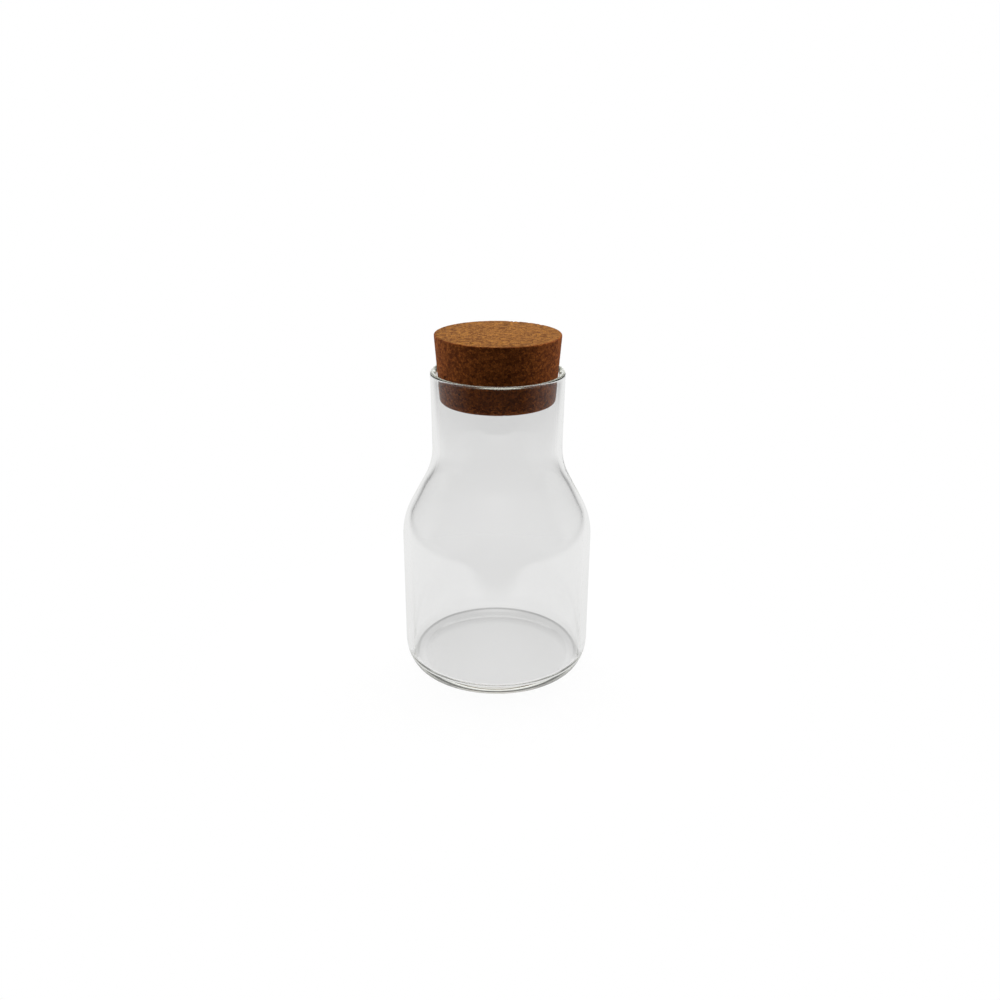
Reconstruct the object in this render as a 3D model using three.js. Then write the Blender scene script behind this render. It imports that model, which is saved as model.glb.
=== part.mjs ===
// A corked glass bottle: a thick glass vessel with a straight body, a conical shoulder and a wide,
// slightly flared neck, closed by a tapered stopper of pressed cork granules.
// Millimetres, +Z up along the bottle's axis, origin at the centre of the base on the table.
import * as THREE from 'three';

// Glass, outside: three stretches on top of each other make up the height
const BODY_DIAMETER = 90;
const BODY_HEIGHT = 74.2;
const SHOULDER_HEIGHT = 27.8;
const NECK_HEIGHT = 45.1;
const NECK_DIAMETER = 60.3;
const MOUTH_DIAMETER = 61.5;
const SHOULDER_RADIUS = 32;
const NECK_ROOT_RADIUS = 33.5;

// Heel: below its height the body leans in to a knee, and from there it turns under to the foot
const HEEL_HEIGHT = 11.7;
const KNEE_HEIGHT = 4.2;
const KNEE_SETBACK = 1.4;
const FOOT_SETBACK = 5.9;
const HEEL_RADIUS = 30;
const KNEE_RADIUS = 3;
const FOOT_RADIUS = 1.5;

// Underside: a ring to stand on, measured in from the foot's edge, round a shallow hollow
const STANDING_RING_WIDTH = 3.4;
const PUNT_DEPTH = 1.2;

// Glass thickness
const GLASS_WALL = 2.9;
const BASE_THICKNESS = 4.6;
const FLOOR_CORNER_RADIUS = 4;

// Cork: the taper is the radius gained for each millimetre of height
const STOPPER_HEIGHT = 31.1;
const STOPPER_DEPTH = 15.8;
const STOPPER_TAPER = 0.0755;
const STOPPER_BEVEL = 0.6;
const STOPPER_FOOT_ARC = 3.5;
const STOPPER_CLEARANCE = 0.3;

// Facets
const ROUND_SEGMENTS = 64;
const ARC_STEP = THREE.MathUtils.degToRad(12);
const DOME_RINGS = 4;

// Finishes
const GLASS_COLOUR = 0xdfe5de;
const GLASS_ROUGHNESS = 0.05;
const GLASS_OPACITY = 0.35;
const CORK_COLOUR = 0x9c6632;
const CORK_ROUGHNESS = 0.9;

// Radii and heights that follow from the sizes above
const bodyRadius = BODY_DIAMETER / 2;
const neckRadius = NECK_DIAMETER / 2;
const mouthRadius = MOUTH_DIAMETER / 2;
const kneeRadius = bodyRadius - KNEE_SETBACK;
const footRadius = bodyRadius - FOOT_SETBACK;
const puntRadius = footRadius - STANDING_RING_WIDTH;
const neckFoot = BODY_HEIGHT + SHOULDER_HEIGHT;
const lipHeight = neckFoot + NECK_HEIGHT;
const lipRadius = GLASS_WALL / 2;
const stopperFoot = lipHeight - STOPPER_DEPTH;

// A line through two points of the outside, moved into the glass
function innerLine(from, to, thickness) {
  const along = to.clone().sub(from).normalize();
  const inward = new THREE.Vector2(-along.y, along.x);
  return { point: from.clone().addScaledVector(inward, thickness), along };
}

// The point where two lines cross
function crossing(first, second) {
  const apart = second.point.clone().sub(first.point);
  const reach = apart.cross(second.along) / first.along.cross(second.along);
  return first.point.clone().addScaledVector(first.along, reach);
}

// The angle by which an outline turns at a corner, positive to the left
function turnAt(corners, index) {
  const before = corners[index].at.clone().sub(corners[index - 1].at);
  const after = corners[index + 1].at.clone().sub(corners[index].at);
  return Math.atan2(before.cross(after), before.dot(after));
}

// An outline whose corners are rounded by arcs that touch both neighbouring lines. Two arcs that
// share a line too short for both are made smaller by the same factor.
function roundedOutline(corners) {
  const last = corners.length - 1;
  const turns = corners.map((corner, i) => (i === 0 || i === last ? 0 : turnAt(corners, i)));
  const wanted = corners.map((corner, i) => corner.radius * Math.tan(Math.abs(turns[i]) / 2));
  const room = corners.slice(1).map((corner, i) => {
    const length = corner.at.distanceTo(corners[i].at);
    return Math.min(1, length / Math.max(wanted[i] + wanted[i + 1], Number.EPSILON));
  });
  return corners.flatMap((corner, i) => {
    if (wanted[i] === 0) return [corner.at];
    const share = Math.min(room[i - 1], room[i]);
    return arcAtCorner(corner.at, corners[i - 1].at, corner.radius * share, wanted[i] * share, turns[i]);
  });
}

// Points of the arc that rounds one corner, coming from the point before it
function arcAtCorner(corner, before, radius, reach, turn) {
  const back = before.clone().sub(corner).normalize();
  const start = corner.clone().addScaledVector(back, reach);
  const toCentre = new THREE.Vector2(back.y, -back.x).multiplyScalar(Math.sign(turn) * radius);
  const centre = start.clone().add(toCentre);
  const startAngle = toCentre.clone().negate().angle();
  const arc = new THREE.EllipseCurve(
    centre.x, centre.y, radius, radius, startAngle, startAngle + turn, turn < 0);
  return arc.getPoints(Math.max(1, Math.ceil(Math.abs(turn) / ARC_STEP)));
}

// A shallow dome from the axis out to the punt's edge, whose edge lies at a given height
function domePoints(edgeHeight) {
  const domeRadius = (puntRadius ** 2 + PUNT_DEPTH ** 2) / (2 * PUNT_DEPTH);
  const sweep = Math.asin(puntRadius / domeRadius);
  const centreHeight = edgeHeight + PUNT_DEPTH - domeRadius;
  return Array.from({ length: DOME_RINGS }, (unused, ring) => {
    const angle = sweep * ring / DOME_RINGS;
    return new THREE.Vector2(
      domeRadius * Math.sin(angle), centreHeight + domeRadius * Math.cos(angle));
  });
}

// Corner points of the outside, from the punt's edge up to the lip
const puntEdge = new THREE.Vector2(puntRadius, 0);
const foot = new THREE.Vector2(footRadius, 0);
const knee = new THREE.Vector2(kneeRadius, KNEE_HEIGHT);
const heel = new THREE.Vector2(bodyRadius, HEEL_HEIGHT);
const shoulder = new THREE.Vector2(bodyRadius, BODY_HEIGHT);
const neckRoot = new THREE.Vector2(neckRadius, neckFoot);
const lip = new THREE.Vector2(mouthRadius, lipHeight);

// The inside faces lie one wall in from the outer ones, and the floor one base thickness up
const floorLine = innerLine(puntEdge, foot, BASE_THICKNESS);
const bodyLine = innerLine(heel, shoulder, GLASS_WALL);
const shoulderLine = innerLine(shoulder, neckRoot, GLASS_WALL);
const neckLine = innerLine(neckRoot, lip, GLASS_WALL);
const lipLine = { point: lip, along: new THREE.Vector2(-1, 0) };

// The whole section of the glass: underside, outside, lip, inside and floor. The inner arcs of the
// shoulder and the neck share the centres of the outer ones, so the wall is even round the bends.
function glassSection() {
  const outside = [
    { at: puntEdge, radius: 0 },
    { at: foot, radius: FOOT_RADIUS },
    { at: knee, radius: KNEE_RADIUS },
    { at: heel, radius: HEEL_RADIUS },
    { at: shoulder, radius: SHOULDER_RADIUS },
    { at: neckRoot, radius: NECK_ROOT_RADIUS },
    { at: lip, radius: lipRadius },
  ];
  const inside = [
    { at: crossing(neckLine, lipLine), radius: lipRadius },
    { at: crossing(shoulderLine, neckLine), radius: NECK_ROOT_RADIUS + GLASS_WALL },
    { at: crossing(bodyLine, shoulderLine), radius: Math.max(0, SHOULDER_RADIUS - GLASS_WALL) },
    { at: crossing(floorLine, bodyLine), radius: FLOOR_CORNER_RADIUS },
    { at: floorLine.point, radius: 0 },
  ];
  const wall = roundedOutline([...outside, ...inside]);
  return [...domePoints(0), ...wall, ...domePoints(BASE_THICKNESS).reverse()];
}

// Inner radius of the straight neck at a height
function neckBoreAt(height) {
  const reach = (height - neckLine.point.y) / neckLine.along.y;
  return neckLine.point.x + neckLine.along.x * reach;
}

// The cork jams where it first meets the glass: at the round lip, or at its own foot in a neck that
// narrows faster than the cork. Its foot's radius follows from that, less the clearance.
function stopperFootRadius() {
  const slope = Math.hypot(1, STOPPER_TAPER);
  const lipCentreHeight = lipHeight - lipRadius;
  const atLip = mouthRadius - lipRadius - (lipRadius + STOPPER_CLEARANCE) * slope;
  const footFromLip = atLip - STOPPER_TAPER * (lipCentreHeight - stopperFoot);
  const footFromNeck = neckBoreAt(stopperFoot) - STOPPER_CLEARANCE * slope;
  return Math.min(footFromLip, footFromNeck);
}

// The section of the cork above its own foot, rounded at the foot and with a small bevel at the top
function corkSection() {
  const narrowEnd = stopperFootRadius();
  const radiusAt = (height) => narrowEnd + STOPPER_TAPER * height;
  const bevelFoot = STOPPER_HEIGHT - STOPPER_BEVEL;
  return roundedOutline([
    { at: new THREE.Vector2(0, 0), radius: 0 },
    { at: new THREE.Vector2(narrowEnd, 0), radius: STOPPER_FOOT_ARC },
    { at: new THREE.Vector2(radiusAt(bevelFoot), bevelFoot), radius: 0 },
    { at: new THREE.Vector2(radiusAt(STOPPER_HEIGHT) - STOPPER_BEVEL, STOPPER_HEIGHT), radius: 0 },
    { at: new THREE.Vector2(0, STOPPER_HEIGHT), radius: 0 },
  ]);
}

// A round piece, turned upright: a lathe works about Y and the bottle stands along Z
function turnedPiece(name, section, material) {
  const piece = new THREE.Mesh(new THREE.LatheGeometry(section, ROUND_SEGMENTS), material);
  piece.name = name;
  piece.rotation.x = Math.PI / 2;
  return piece;
}

const glass = new THREE.MeshStandardMaterial({
  color: GLASS_COLOUR,
  roughness: GLASS_ROUGHNESS,
  metalness: 0,
  transparent: true,
  opacity: GLASS_OPACITY,
});

const cork = new THREE.MeshStandardMaterial({
  color: CORK_COLOUR,
  roughness: CORK_ROUGHNESS,
  metalness: 0,
});

const stopper = new THREE.Group();
stopper.position.z = stopperFoot;
stopper.add(turnedPiece('cork_stopper', corkSection(), cork));

const bottle = new THREE.Group();
bottle.add(turnedPiece('glass_bottle', glassSection(), glass));
bottle.add(stopper);

export default bottle;
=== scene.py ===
# Looks of a corked glass bottle: clear, thick-walled glass closed by a stopper of pressed cork granules.
# Metres, +Z up along the bottle's axis, origin at the centre of the base on the table.
import math

import bpy
import numpy as np
from mathutils import Color, Matrix, Vector, noise


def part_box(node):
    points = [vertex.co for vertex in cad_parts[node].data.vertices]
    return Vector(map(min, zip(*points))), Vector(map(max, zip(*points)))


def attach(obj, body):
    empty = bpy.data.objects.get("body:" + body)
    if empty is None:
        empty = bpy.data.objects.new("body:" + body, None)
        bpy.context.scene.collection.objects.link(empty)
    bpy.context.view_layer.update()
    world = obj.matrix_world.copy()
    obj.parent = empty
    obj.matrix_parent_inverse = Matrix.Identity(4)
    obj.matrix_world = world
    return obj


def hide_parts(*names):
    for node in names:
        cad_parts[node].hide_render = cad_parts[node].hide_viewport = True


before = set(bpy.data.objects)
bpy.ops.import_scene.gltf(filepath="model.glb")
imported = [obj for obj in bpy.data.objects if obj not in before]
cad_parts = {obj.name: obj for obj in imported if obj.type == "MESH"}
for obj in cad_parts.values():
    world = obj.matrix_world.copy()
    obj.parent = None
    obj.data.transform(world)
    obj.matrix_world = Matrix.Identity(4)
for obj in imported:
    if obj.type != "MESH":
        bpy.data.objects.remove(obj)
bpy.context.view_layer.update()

glass_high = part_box("glass_bottle")[1]
cork_low, cork_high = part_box("cork_stopper")

MM = 0.001

# Glass, outside: radii and heights of the corners of its section, and the arcs that round them
BODY_RADIUS = glass_high.x
LIP_HEIGHT = glass_high.z
SHOULDER_FOOT = 74.2 * MM
NECK_FOOT = 102.0 * MM
NECK_RADIUS = 30.15 * MM
MOUTH_RADIUS = 30.75 * MM
HEEL_HEIGHT = 11.7 * MM
FOOT_RADIUS = 39.1 * MM
PUNT_RADIUS = 35.7 * MM
PUNT_DEPTH = 1.2 * MM
SHOULDER_ARC = 32.0 * MM
NECK_ROOT_ARC = 33.5 * MM

# Glass thickness and tint
GLASS_WALL = 2.9 * MM
BASE_THICKNESS = 4.6 * MM
FLOOR_CORNER_ARC = 4.0 * MM
GLASS_TINT = (0.5, 0.53, 0.25, 1.0)
GLASS_DENSITY = 2.5
GLASS_IOR = 1.5

# Glass finish: a haze in patches, and what is left of a lamp's light behind one face of the glass
HAZE_SCALE = 45.0
HAZE_DETAIL = 4.0
HAZE_START = 0.35
HAZE_END = 0.75
HAZE_ROUGHNESS = 0.03
LAMPLIGHT_LEFT = (0.98, 0.97, 0.95, 1.0)

# Lip: it falls from its outer edge to the bore, with an arc at both
LIP_FALL = 3.0 * MM
LIP_OUTER_ARC = 1.0 * MM
LIP_INNER_ARC = 0.4 * MM

# Glass mesh, and the slight unevenness that a mould leaves on the inside
GLASS_SEGMENTS = 256
GLASS_ARC_STEP = math.radians(4)
GLASS_LINE_STEP = 1.6 * MM
PUNT_RINGS = 16
HEEL_RINGS = 24
WAVE_DEPTH = 0.05 * MM
WAVE_LENGTH = 22 * MM

# Cork mesh: squares across the ends, and the round of its two edges
CORK_END_SQUARES = 132
CORK_TOP_ARC = 0.6 * MM
CORK_TOP_RINGS = 3
CORK_FOOT_ARC = 3.5 * MM
CORK_FOOT_RINGS = 14
CORK_TAPER = 0.0755

# Cork granules: their size, how unevenly they stand, lost ones and chips along the edges
GRANULE_SIZE = 1.0 * MM
GRANULE_WARP = 0.6 * MM
GRANULE_WARP_LENGTH = 2.2 * MM
GRANULE_RISE = 0.06 * MM
PIT_SIZE = 1.5 * MM
PIT_RIM = 0.3
PIT_SHARE = 0.006
PIT_DEPTH = 0.35 * MM
CHIP_SHARE = 0.2
CHIP_DEPTH = 0.4 * MM
CHIP_REACH = 1.1 * MM

# Seeds of the two random numbers that each large granule has, for being lost and for being chipped
GRANULE_KEY = 97
CHIP_KEY_SHIFT = 211

# Cork finish: dark seams, a fine speckle, slow changes of tone, and how rough and uneven it feels
SEAM_WIDTH = 0.12
SEAM_SHADE = 0.5
SPECKLE_SCALE = 1800.0
SPECKLE_DETAIL = 4.0
SPECKLE_HARSHNESS = 0.7
SPECKLE_TONE = 0.3
MOTTLE_SCALE = 140.0
MOTTLE_TONE = 0.08
NOISE_LOW = 0.3
NOISE_HIGH = 0.7
CORK_ROUGHNESS_LOW = 0.8
CORK_ROUGHNESS_HIGH = 0.98
CORK_GLOSS = 0.08
BUMP_STRENGTH = 0.5
BUMP_DEPTH = 0.15 * MM

# Cork colours as a screen shows them: dark granules, light granules and seams
SCREEN_WHITE = 255
SANDED_TONES = ((110, 61, 16), (180, 119, 46), (65, 33, 9))
MOULDED_TONES = ((110, 53, 20), (182, 103, 45), (62, 25, 9))

# Camera, as the photograph was taken
CAMERA_BACK = 434.6 * MM
CAMERA_HEIGHT = 254.8 * MM
CAMERA_PITCH = math.radians(21.66)
CAMERA_YAW = math.radians(-0.18)
CAMERA_ROLL = math.radians(0.38)
CAMERA_LENS = 35.28

# Table: its size, its white under the bottle's shadow and farther off, and the painted light it shows
# through the glass, dimmer towards the back
TABLE_HALF_WIDTH = 1.0
TABLE_BACK = 1.2
TABLE_FRONT = -0.7
TABLE_WHITE = 0.95
TABLE_MATT = 0.3
SHADOW_REACH = 80 * MM
SHADOW_END = 150 * MM
TABLE_FAR = 0.35
# Painted light: how bright the table shows through the glass near the bottle and far back
TABLE_NEAR_THROUGH_LIGHT = 0.84
TABLE_FAR_THROUGH_LIGHT = 0.75

# Pool of light on the table: its front edge, how that softens to the sides, and how the glass mirrors it
POOL_FRONT = 0.072
POOL_SLOPE = 1.1
POOL_ARC = 0.2
POOL_EDGE = 0.04
POOL_SOFT_START = 0.25
POOL_SOFT_END = 0.42
POOL_SOFT_EDGE = 0.7
POOL_NEAR = 0.3
POOL_FAR = 0.52
POOL_GLOW = 0.84
POOL_FAR_GLOW = 0.35
SPOT_PLACE = -0.13
SPOT_REACH = 0.085
SPOT_GLOW = 1.4

# Shade under the bottle: a ring in the narrow gap below the heel, and a crescent at the back of the base
CONTACT_SHADE = 0.4
CONTACT_MIRRORED = 0.25
CONTACT_FRONT = 0.8
CONTACT_INNER = 40.6 * MM
CONTACT_OUTER = 41.4 * MM
CONTACT_BLUR = 1.2 * MM
BACK_SHADE = 0.19
BACK_SHADE_CENTRE = -11 * MM
BACK_SHADE_START = 35 * MM
BACK_SHADE_END = 41 * MM

# Lamp above the table, behind the bottle and to its right
LAMP_SIZE = 0.5
LAMP_HEIGHT = 0.75
LAMP_BACK = 0.3
LAMP_SIDE = 0.35
LAMP_POWER = 1.5

# Room as light: bright behind the bottle and dim in front, with a soft change between them
ROOM_BACK = 2.2
ROOM_FRONT = 0.01
LIGHT_START = -0.16
LIGHT_END = 0.14

# Room straight through the glass: pale low down and dark above
ROOM_LOW = 0.8
ROOM_DARK = 0.04
BACKDROP_START = 0.02
BACKDROP_END = 0.15

# Room mirrored in the glass: dark, with a bright panel behind the bottle and paler sides low down
ROOM_MIRRORED = 0.12
PANEL_GLOW = 1.5
PANEL_EDGE = 0.92
PANEL_BLUR = 0.04
SIDE_GLOW = 0.5
SIDE_TOP_START = 0.2
SIDE_TOP_END = 0.45
SIDE_FRONT_START = -0.2
SIDE_FRONT_END = 0.1

# Light: bounces enough for the thick glass, and the count below which a ray has had none
LIGHT_BOUNCES = 48
NO_BOUNCE = 0.5
WHITE = (1.0, 1.0, 1.0, 1.0)


def srgb(red, green, blue):
    """A colour as a screen shows it, from 0 to 255, in the linear values that shaders take."""
    screen = Color((red, green, blue)) / SCREEN_WHITE
    return (*screen.from_srgb_to_scene_linear(), 1.0)


def add_node(tree, kind, inputs=None, **settings):
    """A new node with its settings, and with values or links on the inputs that are named."""
    made = tree.nodes.new(kind)
    for key, value in settings.items():
        setattr(made, key, value)
    for key, value in (inputs or {}).items():
        if isinstance(value, bpy.types.NodeSocket):
            tree.links.new(value, made.inputs[key])
        else:
            made.inputs[key].default_value = value
    return made


def number(tree, operation, *values):
    """The result of a sum, whose values are plain or linked."""
    return add_node(tree, "ShaderNodeMath", dict(enumerate(values)), operation=operation).outputs[0]


def ramp(tree, value, ends, results, curve="LINEAR"):
    """A number that goes from one result to the other as a value goes from one end to the other."""
    return add_node(tree, "ShaderNodeMapRange", {
        "Value": value, "From Min": ends[0], "From Max": ends[1],
        "To Min": results[0], "To Max": results[1]}, interpolation_type=curve).outputs["Result"]


def blend(tree, share, first, second):
    """A number between two others: the first where the share is 0, the second where it is 1."""
    return add_node(tree, "ShaderNodeMix", {0: share, 2: first, 3: second}).outputs[0]


def blend_colours(tree, share, first, second):
    """A colour between two others: the first up to a share of 0, the second from a share of 1."""
    return add_node(tree, "ShaderNodeMix", {0: share, 6: first, 7: second}, data_type="RGBA").outputs[2]


def distance(tree, place, centre=(0, 0, 0)):
    """How far a place lies from a centre."""
    return add_node(tree, "ShaderNodeVectorMath", {
        0: place, 1: centre}, operation="DISTANCE").outputs["Value"]


def add_object(name, mesh):
    made = bpy.data.objects.new(name, mesh)
    bpy.context.scene.collection.objects.link(made)
    return made


# Section of the glass

def inner_line(start, end, thickness):
    """A line through two points of the outside, moved into the glass: a point on it and its direction."""
    along = (end - start).normalized()
    return start + Vector((-along.y, along.x)) * thickness, along


def crossing(first, second):
    """The point where two lines cross."""
    apart = second[0] - first[0]
    reach = apart.cross(second[1]) / first[1].cross(second[1])
    return first[0] + first[1] * reach


def arc_at_corner(before, corner, after, radius):
    """Points of the arc that rounds a corner and touches the lines to both neighbours."""
    back = (before - corner).normalized()
    ahead = (after - corner).normalized()
    turn = math.pi - back.angle(ahead)
    reach = radius * math.tan(turn / 2)
    centre = corner + (back + ahead).normalized() * math.hypot(radius, reach)
    start = corner + back * reach - centre
    side = math.copysign(1, (corner - before).cross(after - corner))
    steps = max(2, math.ceil(turn / GLASS_ARC_STEP))
    turns = [Matrix.Rotation(side * turn * step / steps, 2) for step in range(steps + 1)]
    return [centre + rotation @ start for rotation in turns]


def rounded_outline(corners):
    """An outline through corners, each a point with the radius of the arc that rounds it."""
    outline = [corners[0][0]]
    for (before, _), (corner, radius), (after, _) in zip(corners, corners[1:], corners[2:]):
        outline += arc_at_corner(before, corner, after, radius) if radius else [corner]
    return outline + [corners[-1][0]]


def with_short_lines(outline):
    """The same outline, with points along its straight stretches."""
    points = [outline[0]]
    for start, end in zip(outline, outline[1:]):
        steps = max(1, math.ceil((end - start).length / GLASS_LINE_STEP))
        points += [start.lerp(end, step / steps) for step in range(1, steps + 1)]
    return points


def dome_points(edge_height):
    """A shallow dome from the axis to the punt's edge, without the edge itself."""
    dome_radius = (PUNT_RADIUS ** 2 + PUNT_DEPTH ** 2) / (2 * PUNT_DEPTH)
    sweep = math.asin(PUNT_RADIUS / dome_radius)
    angles = [sweep * ring / PUNT_RINGS for ring in range(PUNT_RINGS)]
    top = edge_height + PUNT_DEPTH
    return [Vector((dome_radius * math.sin(a), top - dome_radius * (1 - math.cos(a)))) for a in angles]


def heel_points():
    """A quarter of an ellipse, from the ring that the bottle stands on to the foot of the straight body."""
    reach = BODY_RADIUS - FOOT_RADIUS
    angles = [math.pi / 2 * ring / HEEL_RINGS for ring in range(HEEL_RINGS)]
    return [Vector((FOOT_RADIUS + reach * math.sin(a), HEEL_HEIGHT * (1 - math.cos(a)))) for a in angles]


def glass_section():
    """The outside from under the base to the lip, then the inside from the lip to the floor."""
    heel = Vector((BODY_RADIUS, HEEL_HEIGHT))
    shoulder = Vector((BODY_RADIUS, SHOULDER_FOOT))
    neck_root = Vector((NECK_RADIUS, NECK_FOOT))
    lip = Vector((MOUTH_RADIUS, LIP_HEIGHT))
    inner_lip = Vector((MOUTH_RADIUS - GLASS_WALL, LIP_HEIGHT - LIP_FALL))
    floor_edge = Vector((BODY_RADIUS - GLASS_WALL, BASE_THICKNESS))
    body_line = inner_line(heel, shoulder, GLASS_WALL)
    shoulder_line = inner_line(shoulder, neck_root, GLASS_WALL)
    neck_line = inner_line(neck_root, lip, GLASS_WALL)
    lip_line = (lip, (inner_lip - lip).normalized())
    corners = [
        (heel, 0),
        (shoulder, SHOULDER_ARC),
        (neck_root, NECK_ROOT_ARC),
        (lip, LIP_OUTER_ARC),
        (crossing(neck_line, lip_line), LIP_INNER_ARC),
        (crossing(shoulder_line, neck_line), NECK_ROOT_ARC + GLASS_WALL),
        (crossing(body_line, shoulder_line), SHOULDER_ARC - GLASS_WALL),
        (floor_edge, FLOOR_CORNER_ARC),
        (Vector((PUNT_RADIUS, BASE_THICKNESS)), 0),
    ]
    wall = [Vector((PUNT_RADIUS, 0))] + heel_points() + rounded_outline(corners)
    return dome_points(0) + with_short_lines(wall) + dome_points(BASE_THICKNESS)[::-1]


# Glass bottle

def glass_vertices(section):
    """Rings of points round the axis, slightly uneven inside, and a single point at each end on the axis."""
    angles = [math.tau * step / GLASS_SEGMENTS for step in range(GLASS_SEGMENTS)]
    lip_index = max(range(len(section)), key=lambda index: section[index].y)
    vertices = [Vector((0, 0, section[0].y))]
    for index, point in enumerate(section[1:-1], start=1):
        for angle in angles:
            place = Vector((point.x * math.cos(angle), point.x * math.sin(angle), point.y))
            if index > lip_index and point.x > GLASS_WALL:
                ease = min(1, (LIP_HEIGHT - point.y) / WAVE_LENGTH)
                swell = WAVE_DEPTH * ease * noise.noise(place / WAVE_LENGTH)
                place *= 1 + swell / point.x
            vertices.append(place)
    return vertices + [Vector((0, 0, section[-1].y))]


def glass_faces(rings):
    around = [(step, (step + 1) % GLASS_SEGMENTS) for step in range(GLASS_SEGMENTS)]
    first = [1 + ring * GLASS_SEGMENTS for ring in range(rings)]
    last_vertex = 1 + rings * GLASS_SEGMENTS
    faces = [(0, first[0] + after, first[0] + here) for here, after in around]
    for low, high in zip(first, first[1:]):
        faces += [(low + here, low + after, high + after, high + here) for here, after in around]
    return faces + [(last_vertex, first[-1] + here, first[-1] + after) for here, after in around]


def glass_bottle(material):
    section = glass_section()
    mesh = bpy.data.meshes.new("bottle_glass")
    mesh.from_pydata(glass_vertices(section), [], glass_faces(len(section) - 2))
    mesh.shade_smooth()
    mesh.materials.append(material)
    return add_object("bottle_glass", mesh)


# Cork stopper

def disc_grid(squares):
    """A square grid bent into a disc of radius 1: its points, its faces and its rim in order."""
    ticks = np.linspace(-1, 1, squares + 1)
    across, along = np.meshgrid(ticks, ticks)
    steep = np.abs(across) > np.abs(along)
    radius = np.where(steep, across, along)
    safe = np.where(radius == 0, 1, radius)
    angle = np.where(steep, along / safe, 2 - across / safe) * math.pi / 4
    points = np.stack([radius * np.cos(angle), radius * np.sin(angle)], axis=-1).reshape(-1, 2)
    index = np.arange((squares + 1) ** 2).reshape(squares + 1, squares + 1)
    faces = np.stack([index[:-1, :-1], index[:-1, 1:], index[1:, 1:], index[1:, :-1]], axis=-1)
    rim = np.concatenate([index[0, :-1], index[:-1, -1], index[-1, :0:-1], index[:0:-1, 0]])
    return points, faces.reshape(-1, 4), rim


def flat_ends():
    """Radii of the flat parts of the cork's top and foot, inside the round of their edges."""
    foot_turn = math.pi / 2 - math.atan(CORK_TAPER)
    sharp_foot = cork_high.x - CORK_TAPER * (cork_high.z - cork_low.z)
    return cork_high.x - CORK_TOP_ARC, sharp_foot - CORK_FOOT_ARC * math.tan(foot_turn / 2)


def cork_profile():
    """Radii and heights of the rings down the cork's side, between the rims of its two flat ends."""
    top_flat, foot_flat = flat_ends()
    slant = math.atan(CORK_TAPER)
    top_turns = np.linspace(0, math.pi / 2 + slant, CORK_TOP_RINGS + 1)[1:]
    foot_turns = np.linspace(math.pi / 2 - slant, 0, CORK_FOOT_RINGS + 1)[:-1]
    upper = [(top_flat + CORK_TOP_ARC * math.sin(t), cork_high.z - CORK_TOP_ARC * (1 - math.cos(t)))
             for t in top_turns]
    lower = [(foot_flat + CORK_FOOT_ARC * math.sin(t), cork_low.z + CORK_FOOT_ARC * (1 - math.cos(t)))
             for t in foot_turns]
    spacing = math.tau * cork_high.x / (4 * CORK_END_SQUARES)
    rows = round((upper[-1][1] - lower[0][1]) / spacing)
    side = [tuple(np.array(upper[-1]) + (np.array(lower[0]) - upper[-1]) * row / rows)
            for row in range(1, rows)]
    return upper + side + lower


def plain_cork():
    """Points and faces of the cork before its granules, and how many faces each end has."""
    disc, end_faces, rim = disc_grid(CORK_END_SQUARES)
    rings = cork_profile()
    top_flat, foot_flat = flat_ends()
    top = np.column_stack([disc * top_flat, np.full(len(disc), cork_high.z)])
    foot = np.column_stack([disc * foot_flat, np.full(len(disc), cork_low.z)])
    round_rim = disc[rim]
    side = [np.column_stack([round_rim * radius, np.full(len(rim), height)]) for radius, height in rings]
    starts = len(disc) + len(rim) * np.arange(len(rings))
    loops = [rim, *(start + np.arange(len(rim)) for start in starts), starts[-1] + len(rim) + rim]
    strips = [np.column_stack([upper, lower, np.roll(lower, -1), np.roll(upper, -1)])
              for upper, lower in zip(loops, loops[1:])]
    foot_faces = end_faces[:, ::-1] + loops[-1].min()
    points = np.concatenate([top, *side, foot])
    return points, np.concatenate([end_faces, foot_faces, *strips]), len(end_faces)


def granule_at(place):
    """The large granule that holds a point: two random numbers of its own, and how far in the point lies."""
    distances, centres = noise.voronoi(place / PIT_SIZE)
    key = centres[0] * GRANULE_KEY
    chances = [noise.cell(key + Vector((shift, 0, 0))) / 2 + 0.5 for shift in (0, CHIP_KEY_SHIFT)]
    depth = min(1, (distances[1] - distances[0]) / PIT_RIM)
    return chances, depth * depth * (3 - 2 * depth)


def edge_distance(place):
    """How far a point of the cork lies from the nearer of its two edges."""
    radius = math.hypot(place.x, place.y)
    height = min(cork_high.z - place.z, place.z - cork_low.z)
    foot_gap = CORK_TAPER * (cork_high.z - place.z)
    return math.hypot(height, cork_high.x - foot_gap - radius)


def pressed_granules(points, normals):
    """Sinks pits, chips and a slight unevenness into the cork. Returns its points and how deep in a pit each
    lies, which the shader uses as painted shade in the pits."""
    shaped = points.copy()
    pit_shades = np.zeros(len(points), np.float32)
    for index, place in enumerate(map(Vector, points)):
        (fate, chip), inside = granule_at(place)
        pit = inside if fate < PIT_SHARE else 0
        near_edge = max(0, 1 - edge_distance(place) / CHIP_REACH)
        chipped = near_edge * inside if chip < CHIP_SHARE else 0
        uneven = noise.noise(place / GRANULE_SIZE) / 2 + 0.5
        shaped[index] -= normals[index] * (GRANULE_RISE * uneven + PIT_DEPTH * pit + CHIP_DEPTH * chipped)
        pit_shades[index] = pit
    return shaped, pit_shades


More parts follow.
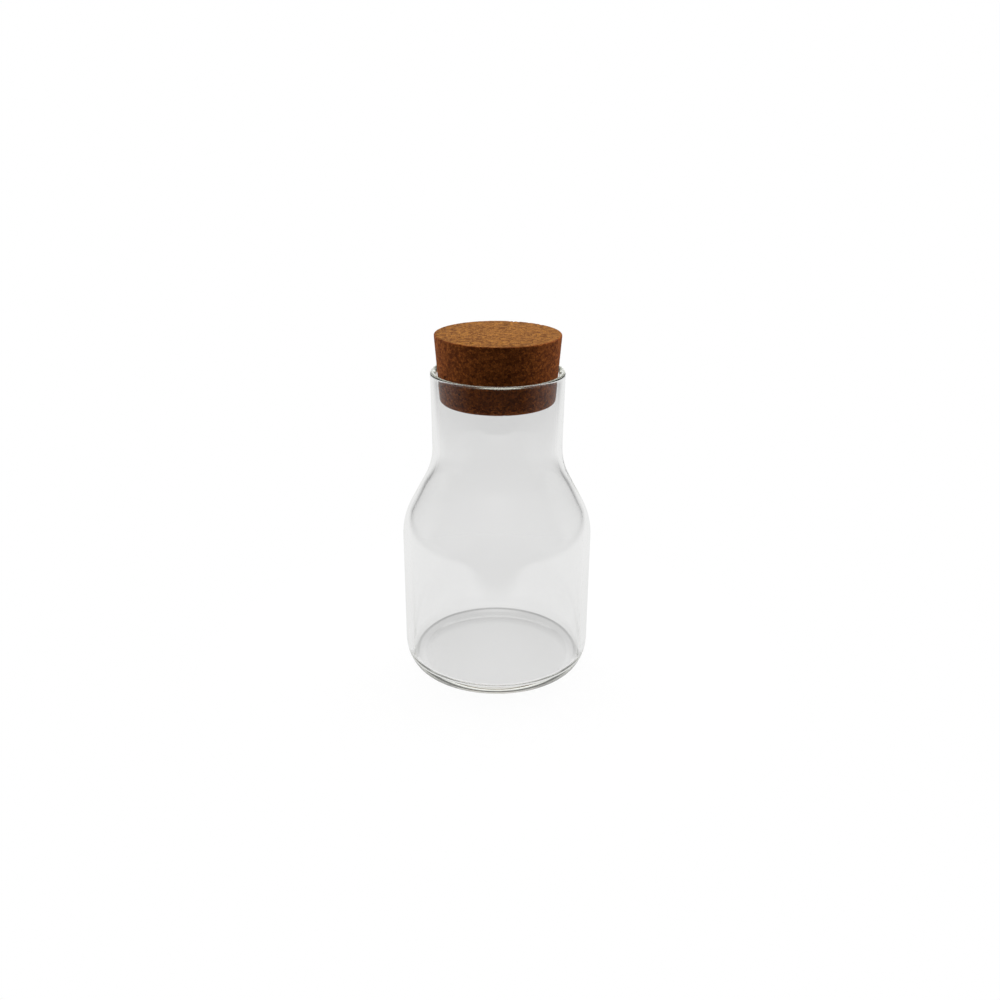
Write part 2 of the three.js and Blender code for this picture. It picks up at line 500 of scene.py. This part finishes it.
def cork_stopper(end_material, side_material):
    points, faces, end_count = plain_cork()
    mesh = bpy.data.meshes.new("stopper_cork")
    mesh.from_pydata(points.tolist(), [], faces.tolist())
    normals = np.zeros(len(points) * 3, np.float32)
    mesh.vertex_normals.foreach_get("vector", normals)
    shaped, pit_shades = pressed_granules(points, normals.reshape(-1, 3))
    mesh.vertices.foreach_set("co", shaped.astype(np.float32).ravel())
    # how deep in a pit each point lies, for the painted shade in the pits
    mesh.attributes.new("pit_painted_shade", "FLOAT", "POINT").data.foreach_set("value", pit_shades)
    mesh.materials.append(end_material)
    mesh.materials.append(side_material)
    on_side = np.arange(len(faces)) >= 2 * end_count
    mesh.polygons.foreach_set("material_index", on_side.astype(np.int32))
    mesh.shade_smooth()
    mesh.update()
    return add_object("stopper_cork", mesh)


# Materials

def new_material(name):
    material = bpy.data.materials.new(name)
    material.use_nodes = True
    material.node_tree.nodes.clear()
    return material, material.node_tree


def clear_glass():
    """Faintly grey-green glass, darker where a ray runs far inside it, that lets lamps through."""
    material, tree = new_material("clear_glass")
    place = add_node(tree, "ShaderNodeTexCoord").outputs["Object"]
    haze = add_node(tree, "ShaderNodeTexNoise", {
        "Vector": place, "Scale": HAZE_SCALE, "Detail": HAZE_DETAIL}).outputs["Fac"]
    roughness = ramp(tree, haze, (HAZE_START, HAZE_END), (0.0, HAZE_ROUGHNESS))
    glass = add_node(tree, "ShaderNodeBsdfPrincipled", {
        "Base Color": WHITE, "Roughness": roughness, "IOR": GLASS_IOR, "Transmission Weight": 1.0})
    through = add_node(tree, "ShaderNodeBsdfTransparent", {"Color": LAMPLIGHT_LEFT})
    path = add_node(tree, "ShaderNodeLightPath")
    surface = add_node(tree, "ShaderNodeMixShader", {
        0: path.outputs["Is Shadow Ray"], 1: glass.outputs[0], 2: through.outputs[0]})
    absorption = add_node(tree, "ShaderNodeVolumeAbsorption", {
        "Color": GLASS_TINT, "Density": GLASS_DENSITY})
    add_node(tree, "ShaderNodeOutputMaterial", {
        "Surface": surface.outputs[0], "Volume": absorption.outputs[0]})
    return material


def granule_group():
    """The look of pressed granules: each has its own tone, with darker seams, painted shade in the pits, and
    a fine speckle.
    """
    tree = bpy.data.node_groups.new("cork_granules", "ShaderNodeTree")
    for name in ("Dark", "Light", "Seam"):
        tree.interface.new_socket(name, in_out="INPUT", socket_type="NodeSocketColor")
    tree.interface.new_socket("Color", in_out="OUTPUT", socket_type="NodeSocketColor")
    tree.interface.new_socket("Roughness", in_out="OUTPUT", socket_type="NodeSocketFloat")
    tree.interface.new_socket("Height", in_out="OUTPUT", socket_type="NodeSocketFloat")
    given = add_node(tree, "NodeGroupInput").outputs
    place = add_node(tree, "ShaderNodeTexCoord").outputs["Object"]
    # painted shade: the pits take the seams' dark tone, as shade in them
    pit = add_node(tree, "ShaderNodeAttribute", attribute_name="pit_painted_shade").outputs["Fac"]
    drift = add_node(tree, "ShaderNodeTexNoise", {"Vector": place, "Scale": 1 / GRANULE_WARP_LENGTH})
    warped = add_node(tree, "ShaderNodeVectorMath", {
        0: drift.outputs["Color"], 1: (GRANULE_WARP,) * 3, 2: place}, operation="MULTIPLY_ADD").outputs[0]
    cells = add_node(tree, "ShaderNodeTexVoronoi", {"Vector": warped, "Scale": 1 / GRANULE_SIZE})
    tone = add_node(tree, "ShaderNodeSeparateColor", {0: cells.outputs["Color"]}).outputs[0]
    gaps = add_node(tree, "ShaderNodeTexVoronoi", {
        "Vector": warped, "Scale": 1 / GRANULE_SIZE}, feature="DISTANCE_TO_EDGE").outputs["Distance"]
    seam = ramp(tree, gaps, (0.0, SEAM_WIDTH), (SEAM_SHADE, 0.0))
    speckle = add_node(tree, "ShaderNodeTexNoise", {
        "Vector": place, "Scale": SPECKLE_SCALE, "Detail": SPECKLE_DETAIL,
        "Roughness": SPECKLE_HARSHNESS}).outputs["Fac"]
    spread = ramp(tree, speckle, (NOISE_LOW, NOISE_HIGH), (-SPECKLE_TONE, SPECKLE_TONE))
    patch = add_node(tree, "ShaderNodeTexNoise", {"Vector": place, "Scale": MOTTLE_SCALE}).outputs["Fac"]
    mottle = ramp(tree, patch, (NOISE_LOW, NOISE_HIGH), (-MOTTLE_TONE, MOTTLE_TONE))
    lightness = number(tree, "ADD", tone, number(tree, "ADD", spread, mottle))
    body = blend_colours(tree, lightness, given["Dark"], given["Light"])
    colour = blend_colours(tree, number(tree, "MAXIMUM", seam, pit), body, given["Seam"])
    roughness = ramp(tree, speckle, (0.0, 1.0), (CORK_ROUGHNESS_LOW, CORK_ROUGHNESS_HIGH))
    raised = number(tree, "SUBTRACT", speckle, seam)
    add_node(tree, "NodeGroupOutput", {"Color": colour, "Roughness": roughness, "Height": raised})
    return tree


def cork(name, granules, tones):
    """Pressed cork of three tones: dark granules, light granules and the seams between them."""
    material, tree = new_material(name)
    look = add_node(tree, "ShaderNodeGroup", node_tree=granules)
    for socket, tone in zip(("Dark", "Light", "Seam"), tones):
        look.inputs[socket].default_value = srgb(*tone)
    bump = add_node(tree, "ShaderNodeBump", {
        "Strength": BUMP_STRENGTH, "Distance": BUMP_DEPTH, "Height": look.outputs["Height"]})
    surface = add_node(tree, "ShaderNodeBsdfPrincipled", {
        "Base Color": look.outputs["Color"], "Roughness": look.outputs["Roughness"],
        "Specular IOR Level": CORK_GLOSS, "Normal": bump.outputs[0]})
    add_node(tree, "ShaderNodeOutputMaterial", {"Surface": surface.outputs[0]})
    return material


# Studio

def no_bounce_of(tree, path, kind):
    """1 for rays that have not met a surface of that kind yet, and 0 for the others."""
    return number(tree, "LESS_THAN", path.outputs[kind + " Depth"], NO_BOUNCE)


def light_pool(tree, place):
    """The part of the table that is lit, with a front edge that comes nearest right before the bottle and is
    softer to the sides, and how bright it looks in the glass as in a mirror: brightest right before the
    bottle and fainter far to the sides."""
    axes = add_node(tree, "ShaderNodeSeparateXYZ", {0: place}).outputs
    sideways = number(tree, "SQRT", number(tree, "MULTIPLY_ADD", axes["X"], axes["X"], POOL_ARC ** 2))
    ahead = number(tree, "MULTIPLY_ADD", sideways, POOL_SLOPE, axes["Y"])
    hard_end = POOL_FRONT + POOL_EDGE / 2
    soft_end = POOL_FRONT + POOL_SOFT_EDGE
    full = ramp(tree, sideways, (POOL_SOFT_START, POOL_SOFT_END), (hard_end, soft_end))
    # painted light: the pool is a painted mask on the table, not the lamp's own light
    lit = ramp(tree, ahead, (POOL_FRONT - POOL_EDGE / 2, full), (ROOM_DARK, 1.0), "SMOOTHSTEP")
    glow = ramp(tree, sideways, (POOL_NEAR, POOL_FAR), (POOL_GLOW, POOL_FAR_GLOW), "SMOOTHSTEP")
    away = distance(tree, place, (0, SPOT_PLACE, 0))
    spot = ramp(tree, away, (0.0, SPOT_REACH), (SPOT_GLOW, 1.0))
    mirrored = number(tree, "MULTIPLY", glow, spot)
    return lit, number(tree, "MULTIPLY", lit, mirrored)


def under_bottle(tree, place):
    """Painted shade in the narrow gap between the table and the heel, fainter in front, and all that the
    bottle covers.
    """
    reach = distance(tree, place)
    inner = ramp(tree, reach, (CONTACT_INNER - CONTACT_BLUR, CONTACT_INNER), (0.0, 1.0))
    covered = ramp(tree, reach, (CONTACT_OUTER, CONTACT_OUTER + CONTACT_BLUR), (1.0, 0.0))
    ring = number(tree, "MINIMUM", inner, covered)
    depth = add_node(tree, "ShaderNodeSeparateXYZ", {0: place}).outputs["Y"]
    backward = number(tree, "DIVIDE", depth, reach)
    facing = ramp(tree, backward, (0.0, 1.0), (CONTACT_FRONT, 1.0), "SMOOTHSTEP")
    return number(tree, "MULTIPLY", ring, facing), covered


def shaded(tree, brightness, shade, depth):
    """A brightness that loses a share of itself where there is shade."""
    left = ramp(tree, shade, (0.0, 1.0), (1.0, 1.0 - depth))
    return number(tree, "MULTIPLY", brightness, left)


def seen_through(tree, place, gap, covered):
    """How bright the table looks straight through the glass, all painted light and shade: less lit towards
    the back, shaded in the narrow gap under the heel, and a little under the back of the base."""
    depth = add_node(tree, "ShaderNodeSeparateXYZ", {0: place}).outputs["Y"]
    # painted light: the table through the glass dims towards the back, as if less lit
    grey = ramp(tree, depth, (0.0, TABLE_FAR), (TABLE_NEAR_THROUGH_LIGHT, TABLE_FAR_THROUGH_LIGHT))
    shift = distance(tree, place, (0, BACK_SHADE_CENTRE, 0))
    crescent = ramp(tree, shift, (BACK_SHADE_START, BACK_SHADE_END), (0.0, 1.0))
    back = number(tree, "MINIMUM", covered, crescent)
    return shaded(tree, shaded(tree, grey, back, BACK_SHADE), gap, CONTACT_SHADE)


def white_table():
    """White board that keeps a share of the bottle's shadow, evenly white farther off. The glass shows it
    with painted light, dimmer than white, and mirrors only the part of it that is painted as lit."""
    material, tree = new_material("white_table")
    path = add_node(tree, "ShaderNodeLightPath")
    to_camera = path.outputs["Is Camera Ray"]
    place = add_node(tree, "ShaderNodeTexCoord").outputs["Object"]
    share = ramp(tree, distance(tree, place), (SHADOW_REACH, SHADOW_END), (TABLE_WHITE, 1.0))
    seen = number(tree, "MULTIPLY", no_bounce_of(tree, path, "Diffuse"), share)
    lit, pool = light_pool(tree, place)
    gap, covered = under_bottle(tree, place)
    mirrored = shaded(tree, pool, gap, CONTACT_MIRRORED)
    through = seen_through(tree, place, gap, covered)
    in_glass = blend(tree, no_bounce_of(tree, path, "Glossy"), mirrored, through)
    strength = blend(tree, to_camera, in_glass, 1.0)
    # painted light: the matt colour is darker outside the painted pool of light
    paint = blend(tree, to_camera, number(tree, "MULTIPLY", lit, TABLE_MATT), 1.0)
    matt = add_node(tree, "ShaderNodeBsdfDiffuse", {"Color": paint})
    white = add_node(tree, "ShaderNodeEmission", {"Color": WHITE, "Strength": strength})
    surface = add_node(tree, "ShaderNodeMixShader", {0: seen, 1: matt.outputs[0], 2: white.outputs[0]})
    add_node(tree, "ShaderNodeOutputMaterial", {"Surface": surface.outputs[0]})
    return material


def table():
    corners = [
        (-TABLE_HALF_WIDTH, TABLE_FRONT, 0),
        (TABLE_HALF_WIDTH, TABLE_FRONT, 0),
        (TABLE_HALF_WIDTH, TABLE_BACK, 0),
        (-TABLE_HALF_WIDTH, TABLE_BACK, 0),
    ]
    mesh = bpy.data.meshes.new("table")
    mesh.from_pydata(corners, [], [(0, 1, 2, 3)])
    mesh.materials.append(white_table())
    add_object("table", mesh)


def room():
    """White where the camera looks, pale low down behind the glass, and dark in reflections but for
    a bright panel behind the bottle and paler sides low down. As light it is bright behind the bottle
    and dim in front."""
    world = bpy.data.worlds.new("room")
    bpy.context.scene.world = world
    world.use_nodes = True
    tree = world.node_tree
    tree.nodes.clear()
    direction = add_node(tree, "ShaderNodeTexCoord").outputs["Generated"]
    axes = add_node(tree, "ShaderNodeSeparateXYZ", {0: direction}).outputs
    light = ramp(tree, axes["Y"], (LIGHT_START, LIGHT_END), (ROOM_FRONT, ROOM_BACK), "SMOOTHSTEP")
    backdrop = ramp(tree, axes["Z"], (BACKDROP_START, BACKDROP_END), (ROOM_LOW, ROOM_DARK), "SMOOTHSTEP")
    panel = ramp(tree, axes["Y"], (PANEL_EDGE, PANEL_EDGE + PANEL_BLUR), (ROOM_MIRRORED, PANEL_GLOW))
    low = ramp(tree, axes["Z"], (SIDE_TOP_START, SIDE_TOP_END), (SIDE_GLOW, 0.0))
    beside = ramp(tree, axes["Y"], (SIDE_FRONT_START, SIDE_FRONT_END), (0.0, SIDE_GLOW))
    glow = number(tree, "MAXIMUM", panel, number(tree, "MINIMUM", low, beside))
    path = add_node(tree, "ShaderNodeLightPath")
    unscattered = no_bounce_of(tree, path, "Diffuse")
    straight = number(tree, "MULTIPLY", unscattered, no_bounce_of(tree, path, "Glossy"))
    mirrored = blend(tree, unscattered, light, glow)
    through = blend(tree, straight, mirrored, backdrop)
    strength = blend(tree, path.outputs["Is Camera Ray"], through, 1.0)
    background = add_node(tree, "ShaderNodeBackground", {"Color": WHITE, "Strength": strength})
    add_node(tree, "ShaderNodeOutputWorld", {"Surface": background.outputs[0]})


def top_lamp():
    lamp = bpy.data.lights.new("top_lamp", "AREA")
    lamp.size = LAMP_SIZE
    lamp.energy = LAMP_POWER
    made = bpy.data.objects.new("top_lamp", lamp)
    made.location = (LAMP_SIDE, LAMP_BACK, LAMP_HEIGHT)
    made.visible_camera = False
    made.visible_transmission = False
    bpy.context.scene.collection.objects.link(made)


def camera():
    lens = bpy.data.cameras.new("camera")
    lens.lens = CAMERA_LENS
    made = bpy.data.objects.new("camera", lens)
    tilt = Matrix.Rotation(math.pi / 2 - CAMERA_PITCH, 4, "X")
    turn = Matrix.Rotation(CAMERA_YAW, 4, "Z") @ tilt @ Matrix.Rotation(CAMERA_ROLL, 4, "Z")
    made.matrix_world = Matrix.Translation((0, -CAMERA_BACK, CAMERA_HEIGHT)) @ turn
    bpy.context.scene.collection.objects.link(made)
    bpy.context.scene.camera = made


camera()
room()
top_lamp()
table()
bpy.context.scene.view_settings.view_transform = "Standard"
bpy.context.scene.cycles.max_bounces = LIGHT_BOUNCES
bpy.context.scene.cycles.glossy_bounces = LIGHT_BOUNCES
bpy.context.scene.cycles.transmission_bounces = LIGHT_BOUNCES

bottle = glass_bottle(clear_glass())
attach(bottle, "bottle")
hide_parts("glass_bottle")

granules = granule_group()
sanded = cork("sanded_cork", granules, SANDED_TONES)
moulded = cork("moulded_cork", granules, MOULDED_TONES)
stopper = cork_stopper(sanded, moulded)
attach(stopper, "stopper")
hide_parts("cork_stopper")
